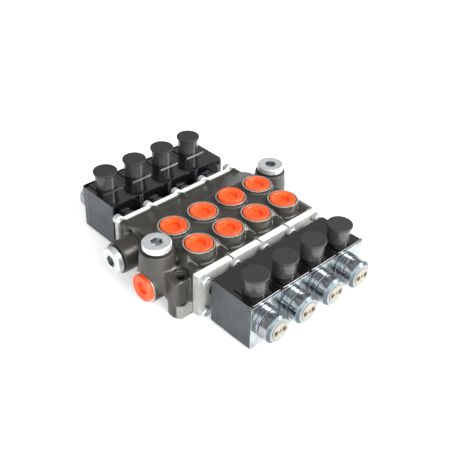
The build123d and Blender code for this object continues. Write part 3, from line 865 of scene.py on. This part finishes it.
# Steel plugs over bonded seals
STEEL_PLUG = 14.1
STEEL_PLUG_TOP = 8.5
STEEL_PLUG_CHAMFER = 0.9
SEAL_RADIUS = 13.3
SEAL_THICKNESS = 1.8
SEAL_CLEARANCE = 0.1
SEAL_EASE = 0.25
STEEL_HEX = 11.0
HEX_FLOOR = 2.5
HEX_DRILL_POINT = 1.2
HEX_LEAD = 1.6
HEX_LEAD_DEPTH = 0.5
HEAD_UNDERCUT = 0.4
SHANK = 9.2
STEEL_SHANK_LENGTH = 12.0
STEEL_SHANK_POINT = 1.0
PLUG_EASE = 0.3


def steel_plug():
    """A round head with a hexagonal socket, over a plain shank."""
    return eased(
        [
            (0, -STEEL_SHANK_LENGTH),
            (SHANK - STEEL_SHANK_POINT, -STEEL_SHANK_LENGTH),
            (SHANK, STEEL_SHANK_POINT - STEEL_SHANK_LENGTH),
            (SHANK, SEAL_THICKNESS),
            (STEEL_PLUG - HEAD_UNDERCUT, SEAL_THICKNESS),
            (STEEL_PLUG, SEAL_THICKNESS + HEAD_UNDERCUT),
            (STEEL_PLUG, STEEL_PLUG_TOP - STEEL_PLUG_CHAMFER),
            (STEEL_PLUG - STEEL_PLUG_CHAMFER, STEEL_PLUG_TOP),
            (STEEL_HEX / 2 + HEX_LEAD, STEEL_PLUG_TOP),
            (STEEL_HEX, STEEL_PLUG_TOP - HEX_LEAD_DEPTH, "hexagon"),
            (STEEL_HEX, HEX_FLOOR, "hexagon"),
            (0, HEX_FLOOR - HEX_DRILL_POINT),
        ],
        PLUG_EASE,
    )


def bonded_seal():
    inner = SHANK + SEAL_CLEARANCE
    return eased(
        [(inner, 0), (SEAL_RADIUS, 0), (SEAL_RADIUS, SEAL_THICKNESS), (inner, SEAL_THICKNESS)],
        SEAL_EASE,
    )


def painted_shade_socket_wall(low, high):
    """The socket's walls take the darker turned zinc as painted shade in the recess; its floor
    keeps the paler plug zinc.
    """
    return low[-1] == high[-1] == "hexagon"


# The sockets' walls take the darker zinc as painted shade
corner_plugs = turned(steel_plug(), steel_places, is_second=painted_shade_socket_wall)
add_piece("corner_plugs", corner_plugs, [PLUG_ZINC, ZINC], replaced=["steel_plugs"])
bonded_seals = turned(bonded_seal(), steel_places, True)
add_piece("bonded_seals", bonded_seals, [RUBBER], replaced=["plug_seals"])

# Orange transport plugs: a rim, a dish, a lower hub and a hexagonal recess
PORT_PLUG = 13.2
END_PLUG = 13.8
PORT_PLUG_HEIGHT = 2.3
# One plug stands higher than the others: this one of the ports, by this much
RAISED_PORT = 4
RAISED_LIFT = 2.2
RIM_WIDTH = 2.8
RIM_DEPTH = 0.8
HUB = 7.2
HUB_DEPTH = 1.4
PLUG_HEX = 12.0
PLUG_HEX_LEAD = 1.1
PLUG_HEX_LEAD_DEPTH = 0.2
PLUG_HEX_DEPTH = 3.4
ORANGE_SHANK_LENGTH = 10.0
ORANGE_SHANK_POINT = 0.8


def orange_plug(radius, height):
    return eased(
        [
            (0, -ORANGE_SHANK_LENGTH),
            (SHANK - ORANGE_SHANK_POINT, -ORANGE_SHANK_LENGTH),
            (SHANK, ORANGE_SHANK_POINT - ORANGE_SHANK_LENGTH),
            (SHANK, 0),
            (radius, 0),
            (radius, height - RIM_DEPTH / 2),
            (radius - RIM_DEPTH / 2, height),
            (radius - RIM_WIDTH, height),
            (radius - RIM_WIDTH - RIM_DEPTH, height - RIM_DEPTH),
            (HUB, height - RIM_DEPTH),
            (HUB, height - HUB_DEPTH),
            (PLUG_HEX / 2 + PLUG_HEX_LEAD, height - HUB_DEPTH),
            (PLUG_HEX, height - HUB_DEPTH - PLUG_HEX_LEAD_DEPTH, "hexagon"),
            (PLUG_HEX, height - PLUG_HEX_DEPTH, "hexagon"),
            (0, height - PLUG_HEX_DEPTH),
        ],
        PLUG_EASE,
    )


def orange_plugs():
    shallow = []
    raised = []
    for i, (x, y) in enumerate(port_places):
        seat = standing(x, y, PORT_RIM - COUNTERBORE_DEPTH)
        (raised if i == RAISED_PORT else shallow).append(seat)
    groups = (
        ("port_plugs", PORT_PLUG, PORT_PLUG_HEIGHT, shallow),
        ("raised_port_plug", PORT_PLUG, PORT_PLUG_HEIGHT + RAISED_LIFT, raised),
        ("end_plugs", END_PLUG, END_PLUG_HEIGHT, [pressure_place, tank_place]),
    )
    for name, radius, height, places in groups:
        mesh = turned(orange_plug(radius, height), places)
        add_piece(name, mesh, [ORANGE], replaced=["transport_plugs"])


orange_plugs()

# Socket head screws of the section plates
SCREW_OFFSETS = {NEAR: 19.0, FAR: 15.5}
SCREW_SHANK = 3.0
SCREW_GRIP = 17.5
SCREW_POINT = 0.5
SCREW_HEAD = 5.0
SCREW_HEAD_HEIGHT = 6.0
HEAD_RELIEF = 0.2
KNURL_START = 0.3
KNURL_END = 4.8
# The head's round shoulder: how far in from its side, and how far down from its top
SHOULDER = ((0.1, 0.8), (0.5, 0.2), (0.9, 0.0))
SCREW_HEX = 5.0
SCREW_HEX_LEAD = 0.7
SCREW_HEX_LEAD_DEPTH = 0.3
SCREW_HEX_DEPTH = 3.0
SCREW_HEX_POINT = 3.8


def socket_screw():
    return [
        (0, -SCREW_GRIP, "round"),
        (SCREW_SHANK - SCREW_POINT, -SCREW_GRIP, "round"),
        (SCREW_SHANK, -SCREW_GRIP + SCREW_POINT, "round"),
        (SCREW_SHANK, 0, "round"),
        (SCREW_HEAD - HEAD_RELIEF, 0, "round"),
        (SCREW_HEAD, KNURL_START, "knurl"),
        (SCREW_HEAD, KNURL_END, "knurl"),
        *[(SCREW_HEAD - inward, SCREW_HEAD_HEIGHT - down, "round") for inward, down in SHOULDER],
        (SCREW_HEX / 2 + SCREW_HEX_LEAD, SCREW_HEAD_HEIGHT, "round"),
        (SCREW_HEX, SCREW_HEAD_HEIGHT - SCREW_HEX_LEAD_DEPTH, "hexagon"),
        (SCREW_HEX, SCREW_HEAD_HEIGHT - SCREW_HEX_DEPTH, "hexagon"),
        (0, SCREW_HEAD_HEIGHT - SCREW_HEX_POINT, "round"),
    ]


def plate_screws():
    places = [
        outward(x, side, direction * SCREW_OFFSETS[side]) @ standing(0, 0, plate_faces[side])
        for side in (NEAR, FAR)
        for direction in (-1, 1)
        for x in seam_x
    ]
    screws = turned(socket_screw(), places)
    add_piece("socket_screws", screws, [PLUG_ZINC], replaced=["plate_screws"])


plate_screws()

# Section plates, sawn from bar: notched where the screws pass and bored for the tubes
PLATE_HALF_HEIGHTS = {NEAR: 23.3, FAR: 18.0}
PLATE_GAPS = {NEAR: 2.0, FAR: 2.6}
PLATE_END = 6.0
PLATE_EDGE = 0.4
# Faces that look up or down more steeply than this take the paler zinc, as painted light
LIT_FACE_SLOPE = 0.5
SCREW_NOTCH = 3.3
HUB_HOLE = 11.1
# The drills pass the plates' faces by this much
DRILL_MARGIN = 1.0


def drill(radius, place):
    low = flange_face - DRILL_MARGIN
    high = plate_face + DRILL_MARGIN
    ends = [(0, low), (radius, low), (radius, high), (0, high)]
    return turned([(*station, "round") for station in ends], [place])


def section_plates():
    """Bars with seams over the body's seams, drilled, with their tops and bottoms painted paler
    than their fronts and ends as painted light.
    """
    spans = []
    cutters = []
    for side in (NEAR, FAR):
        gap = PLATE_GAPS[side] / 2
        limits = [(x + gap, x + pitch - gap) for x in seam_x[:-1]]
        limits[0] = (seam_x[0] - PLATE_END, limits[0][1])
        limits[-1] = (limits[-1][0], seam_x[-1] + PLATE_END)
        half = PLATE_HALF_HEIGHTS[side]
        ys = sorted((side * flange_face, side * plate_faces[side]))
        zs = (axis_height - half, axis_height + half)
        spans += [(*xs, *ys, *zs) for xs in limits]
        cutters += [
            (SCREW_NOTCH, outward(x, side, direction * SCREW_OFFSETS[side]))
            for direction in (-1, 1)
            for x in seam_x
        ]
        cutters += [(HUB_HOLE, outward(x, side)) for x in section_x]
    drills = bmesh.new()
    for radius, place in cutters:
        drills.from_mesh(drill(radius, place))
    mesh = cut_away(blocks(spans), to_mesh(drills), PLATE_EDGE)
    # Tops and bottoms get painted light; fronts and ends get painted shade
    for face in mesh.polygons:
        face.material_index = 0 if abs(face.normal.z) > LIT_FACE_SLOPE else 1
    add_piece("section_bars", mesh, [LIT_TOP_ZINC, SHADED_SIDE_ZINC], replaced=["section_plates"])


section_plates()

# A solenoid from the flange outward: radii, the hexagon's width across flats, and stations
HUB_RADIUS = 11.0
TUBE_HEX = 23.0
TUBE_HEX_CHAMFER = 0.8
TUBE_HEX_RELIEF = 0.1
TUBE = 9.5
TUBE_EASE = 0.2
SPRING_CHAMBER = 8.3
POLE_START = 72.0
POLE_END = 86.0
ROD_BORE = 2.55
ARMATURE_BORE = 7.05
PLUG_SEAT = 137.0
PLUG_BORE = 8.0
INNER_SEAL = 12.0
INNER_SEAL_THICKNESS = 1.2
OUTER_SEAL = 14.0
OUTER_SEAL_THICKNESS = 1.0
COIL_BORE = 9.75
# The spacers and nuts have the same radius
STACK = 15.0
STACK_EASE = 0.5
NUT_BORE = 9.6
NUT_CHAMFER = 3.0
NUT_FRONT_RING = 0.2
hex_end = coil_start - INNER_SEAL_THICKNESS
nut_start = spacer_end + OUTER_SEAL_THICKNESS


def solenoid_tube(side):
    """A threaded hub, a chamfered hexagon and a thin tube, hollow for the spring and armature."""
    return eased(
        [
            (SPRING_CHAMBER, flange_face),
            (HUB_RADIUS, flange_face),
            (HUB_RADIUS, plate_faces[side]),
            (TUBE_HEX / 2 - TUBE_HEX_RELIEF, plate_faces[side]),
            (TUBE_HEX, plate_faces[side] + TUBE_HEX_CHAMFER, "eased_hexagon"),
            (TUBE_HEX, hex_end - TUBE_HEX_CHAMFER, "eased_hexagon"),
            (TUBE_HEX / 2 - TUBE_HEX_RELIEF, hex_end),
            (TUBE, hex_end),
            (TUBE, tube_end),
            (PLUG_BORE, tube_end),
            (PLUG_BORE, PLUG_SEAT),
            (ARMATURE_BORE, PLUG_SEAT),
            (ARMATURE_BORE, POLE_END),
            (ROD_BORE, POLE_END),
            (ROD_BORE, POLE_START),
            (SPRING_CHAMBER, POLE_START),
        ],
        TUBE_EASE,
    )


def coil_ring(radius, start, end, ease):
    """A seal or spacer round the tube."""
    return eased([(COIL_BORE, start), (radius, start), (radius, end), (COIL_BORE, end)], ease)


def in_painted_chamfer(low, high):
    """The chamfer takes a darker, bluer zinc than the nut's side and its front ring, as a painted
    reflection.
    """
    middle = (low[1] + high[1]) / 2
    return nut_end - NUT_CHAMFER < middle < nut_end - NUT_FRONT_RING


def clamp_nut():
    """A round nut with a long front chamfer."""
    return eased(
        [
            (NUT_BORE, nut_start),
            (STACK, nut_start),
            (STACK, nut_end - NUT_CHAMFER),
            (STACK - NUT_CHAMFER, nut_end),
            (NUT_BORE, nut_end),
        ],
        STACK_EASE,
    )


# End plugs: the head's dome, the pin's hole and two slots for a blade
PLUG_HEAD = 9.3
PLUG_DOME = 0.9
PLUG_DOME_DROP = 0.3
PLUG_SHANK = 7.9
PIN = 2.0
PIN_HOLE = 2.06
PIN_LEAD = 0.5
# The pin's round tip: how far in from its side, and how far back from its end
PIN_TIP = ((0.0, 0.6), (0.2, 0.25), (0.7, 0.05))
SLOT_OFFSET = 5.3
SLOT_LENGTH = 4.4
SLOT_WIDTH = 5.6
SLOT_DEPTH = 7.5
SLOT_EDGE = 0.15


def tube_plug():
    """The end plug's body: a domed head, a shank and the hole for the override pin."""
    return eased(
        [
            (PIN_HOLE, PLUG_SEAT),
            (PLUG_SHANK, PLUG_SEAT),
            (PLUG_SHANK, tube_end),
            (PLUG_HEAD, tube_end),
            (PLUG_HEAD, override_face - PLUG_DOME_DROP),
            (PLUG_HEAD - PLUG_DOME, override_face),
            (PIN + PIN_LEAD, override_face),
            (PIN_HOLE, override_face - PIN_LEAD),
        ],
        PLUG_EASE,
    )


def tube_plugs(places):
    """End plugs with their two blade slots cut and the slots' edges broken."""
    slots = bmesh.new()
    size = Matrix.Diagonal((SLOT_LENGTH * MM, SLOT_WIDTH * MM, 2 * SLOT_DEPTH * MM, 1))
    for place in places:
        for direction in (-1, 1):
            spot = (place @ Vector((direction * SLOT_OFFSET, 0, override_face))) * MM
            turn = place.to_3x3().to_4x4()
            slot_place = Matrix.Translation(spot) @ turn @ size
            bmesh.ops.create_cube(slots, size=1, matrix=slot_place)
    mesh = cut_away(turned(tube_plug(), places, True), to_mesh(slots), SLOT_EDGE)
    add_piece("tube_plugs", mesh, [CREAM], replaced=["override_plugs"])


def override_pin():
    return [
        (0, armature_end, "round"),
        (PIN, armature_end, "round"),
        *[(PIN - inward, pin_end - back, "round") for inward, back in PIN_TIP],
        (0, pin_end, "round"),
    ]


def solenoid_stacks():
    places = [outward(x, side) for side in (NEAR, FAR) for x in section_x]
    for name, side in SIDES:
        tubes = turned(solenoid_tube(side), [outward(x, side) for x in section_x], True)
        # The tubes' dark steel is painted shade for the gap between the plates and the coils
        add_piece("tubes_" + name, tubes, [SHADED_TUBE_STEEL], replaced=["solenoid_tubes"])
    spacers = turned(coil_ring(STACK, coil_end, spacer_end, STACK_EASE), places, True)
    add_piece("spacers", spacers, [ZINC], replaced=["coil_spacers"])
    # The chamfers' darker zinc is a painted reflection
    nuts = turned(clamp_nut(), places, True, is_second=in_painted_chamfer)
    add_piece("clamp_nuts", nuts, [ZINC, PAINTED_REFLECTION_ZINC], replaced=["coil_nuts"])
    seals = (
        ("inner_seals", INNER_SEAL, hex_end, coil_start),
        ("outer_seals", OUTER_SEAL, spacer_end, nut_start),
    )
    for name, radius, start, end in seals:
        rings = turned(coil_ring(radius, start, end, (end - start) / 2), places, True)
        add_piece(name, rings, [RUBBER], replaced=["coil_seals"])
    tube_plugs(places)
    for number, x in zip(NUMBERS, section_x):
        pins = turned(override_pin(), [outward(x, side) for side in (NEAR, FAR)])
        body = "spool_group_%d" % number
        node = "override_pins_%d" % number
        add_piece("pins_%d" % number, pins, [STEEL], body, [node])


solenoid_stacks()

# Connector caps: a smooth skirt under a grained disc, hollow over the connector's collar
CAP_FOOT = 11.1
CAP_NECK = 11.4
CAP_DISC = 12.84
CAP_DISC_THICKNESS = 2.5
CAP_BORE = 10.0
CAP_EDGE = 0.8
CAP_EDGE_STEPS = 5
# The disc's grain starts this far over its underside
GRAIN_START = 0.1


def connector_cap():
    disc_floor = cap_top - CAP_DISC_THICKNESS
    return eased(
        [
            (0, disc_floor),
            (CAP_BORE, disc_floor),
            (CAP_BORE, pad_height),
            (CAP_FOOT, pad_height),
            (CAP_NECK, disc_floor),
            (CAP_DISC, disc_floor),
            (CAP_DISC, cap_top),
            (0, cap_top),
        ],
        CAP_EDGE,
        CAP_EDGE_STEPS,
    )


def in_cap_disc(low, high):
    return (low[1] + high[1]) / 2 > cap_top - CAP_DISC_THICKNESS + GRAIN_START


def caps():
    for name, side in SIDES:
        for number, x in zip(NUMBERS, section_x):
            label = "%s_%d" % (name, number)
            place = standing(x, side * connector_station, 0)
            mesh = turned(connector_cap(), [place], is_second=in_cap_disc)
            add_piece(
                "pull_off_cap_" + label,
                mesh,
                [CAP_SKIRT, CAP_TOP],
                "cap_" + label,
                ["connector_cap_" + label],
            )


caps()

# Coils: folded steel frames, plated end plates and black mouldings
FRAME_EDGE = 0.35
END_PLATE_EDGE = 0.4
MOULDING_EDGE = 0.8
# The plated faces look along Y at least this squarely
PLATED_SLOPE = 0.5


def coils():
    for name, side in SIDES:
        for number in NUMBERS:
            label = "%s_%d" % (name, number)
            housing = "coil_housing_" + label
            eased_node("frame_" + label, housing, FRAME_EDGE, COIL_STEEL)
            moulding = "coil_moulding_" + label
            eased_node("moulding_" + label, moulding, MOULDING_EDGE, NYLON)
    plates = eased_node("end_plates", "coil_end_plates", END_PLATE_EDGE, COIL_STEEL)
    plates.data.materials.append(END_ZINC)
    for face in plates.data.polygons:
        if abs(face.normal.y) > PLATED_SLOPE:
            face.material_index = 1


coils()

# A moulded bead on the rail along the outer edge of each coil's top
BEAD_INSET = 1.0
BEAD_WIDTH = 1.8
BEAD_HALF_LENGTH = 17.4
# Its foot and crown over the coil's top
BEAD_FOOT = 0.2
BEAD_CROWN = 1.8
BEAD_EDGE = 0.85


def edge_beads():
    spans = []
    for side in (NEAR, FAR):
        middle = side * (coil_end - BEAD_INSET)
        ys = (middle - BEAD_WIDTH / 2, middle + BEAD_WIDTH / 2)
        zs = (coil_top + BEAD_FOOT, coil_top + BEAD_CROWN)
        spans += [(x - BEAD_HALF_LENGTH, x + BEAD_HALF_LENGTH, *ys, *zs) for x in section_x]
    holder = linked(blocks(spans))
    ease_edges(holder, BEAD_EDGE)
    add_piece("edge_beads", unlinked(holder), [NYLON])


edge_beads()

# Finishes of the nodes that keep their own shape
KEPT = (
    ("coil_windings", COPPER),
    ("connector_contacts", BRASS),
    ("relief_poppet", STEEL),
    ("relief_spring", STEEL),
)
for node, finish in KEPT:
    dress(node, finish)
for number in NUMBERS:
    for stem in ("spool", "armatures", "centring_spring_near", "centring_spring_far"):
        dress("%s_%d" % (stem, number), STEEL)

# Camera at the photograph's viewing angle, from a fit of its lens and place
IMAGE_WIDTH = 452
FOCAL_PIXELS = 750.24
SENSOR_MM = 36.0
VIEW_AZIMUTH = radians(-44.185)
VIEW_ELEVATION = radians(36.019)
VIEW_ROLL = radians(2.017)
VIEW_DISTANCE = 762.893 * MM
AIM_RIGHT = 9.208 * MM
AIM_UP = -14.298 * MM
AIM_HEIGHT = 52.0 * MM
CLIP_START = 0.01
CLIP_END = 50


def add_camera():
    level = Vector((cos(VIEW_AZIMUTH), sin(VIEW_AZIMUTH), 0))
    back = Vector((sin(VIEW_AZIMUTH), -cos(VIEW_AZIMUTH), 0)) * cos(VIEW_ELEVATION)
    back.z = sin(VIEW_ELEVATION)
    rise = back.cross(level)
    right = cos(VIEW_ROLL) * level + sin(VIEW_ROLL) * rise
    up = -sin(VIEW_ROLL) * level + cos(VIEW_ROLL) * rise
    data = bpy.data.cameras.new("camera")
    data.sensor_width = SENSOR_MM
    data.lens = FOCAL_PIXELS / IMAGE_WIDTH * SENSOR_MM
    data.clip_start = CLIP_START
    data.clip_end = CLIP_END
    camera = bpy.data.objects.new("camera", data)
    bpy.context.scene.collection.objects.link(camera)
    eye = AIM_RIGHT * right + AIM_UP * up + VIEW_DISTANCE * back + Vector((0, 0, AIM_HEIGHT))
    turn = Matrix((right, up, back)).transposed().to_4x4()
    camera.matrix_world = Matrix.Translation(eye) @ turn
    bpy.context.scene.camera = camera


add_camera()

# Floor and soft studio light
FLOOR_HALF = 6.0
WORLD_STRENGTH = 0.48
# Each soft box: its place, width and height in metres and its power in watts
SOFT_BOXES = (
    ("overhead", (0.0, 0.0, 1.4), 1.5, 1.5, 1),
    ("front_left", (-1.5, -0.6, 0.7), 0.8, 1.0, 3.5),
    ("front", (-1.05, -1.25, 0.65), 2.2, 1.3, 30),
    ("front_right", (0.3, -1.5, 0.85), 1.8, 1.6, 42),
    ("edge_strip", (1.05, -1.1, 1.08), 0.35, 0.9, 34),
    ("back_left", (-0.9, 1.4, 0.5), 0.8, 0.6, 2),
    ("right", (1.6, 0.2, 0.4), 0.8, 0.5, 4),
)


def add_floor():
    half = FLOOR_HALF
    corners = [(-half, -half, 0), (half, -half, 0), (half, half, 0), (-half, half, 0)]
    mesh = bpy.data.meshes.new("floor")
    mesh.from_pydata(corners, [], [(0, 1, 2, 3)])
    mesh.materials.append(lit_acrylic())
    floor = bpy.data.objects.new("floor", mesh)
    bpy.context.scene.collection.objects.link(floor)


add_floor()


def soft_light(name, place, width, height, power):
    """A rectangular soft box that faces the valve."""
    data = bpy.data.lights.new(name, "AREA")
    data.shape = "RECTANGLE"
    data.size = width
    data.size_y = height
    data.energy = power
    light = bpy.data.objects.new(name, data)
    light.location = place
    light.rotation_euler = (-Vector(place)).to_track_quat("-Z", "Y").to_euler()
    bpy.context.scene.collection.objects.link(light)


for box in SOFT_BOXES:
    soft_light(*box)


def add_world():
    world = bpy.data.worlds.new("studio")
    world.use_nodes = True
    background = world.node_tree.nodes["Background"]
    background.inputs["Color"].default_value = linear("#ffffff")
    background.inputs["Strength"].default_value = WORLD_STRENGTH
    bpy.context.scene.world = world
    bpy.context.scene.view_settings.view_transform = "Standard"


add_world()
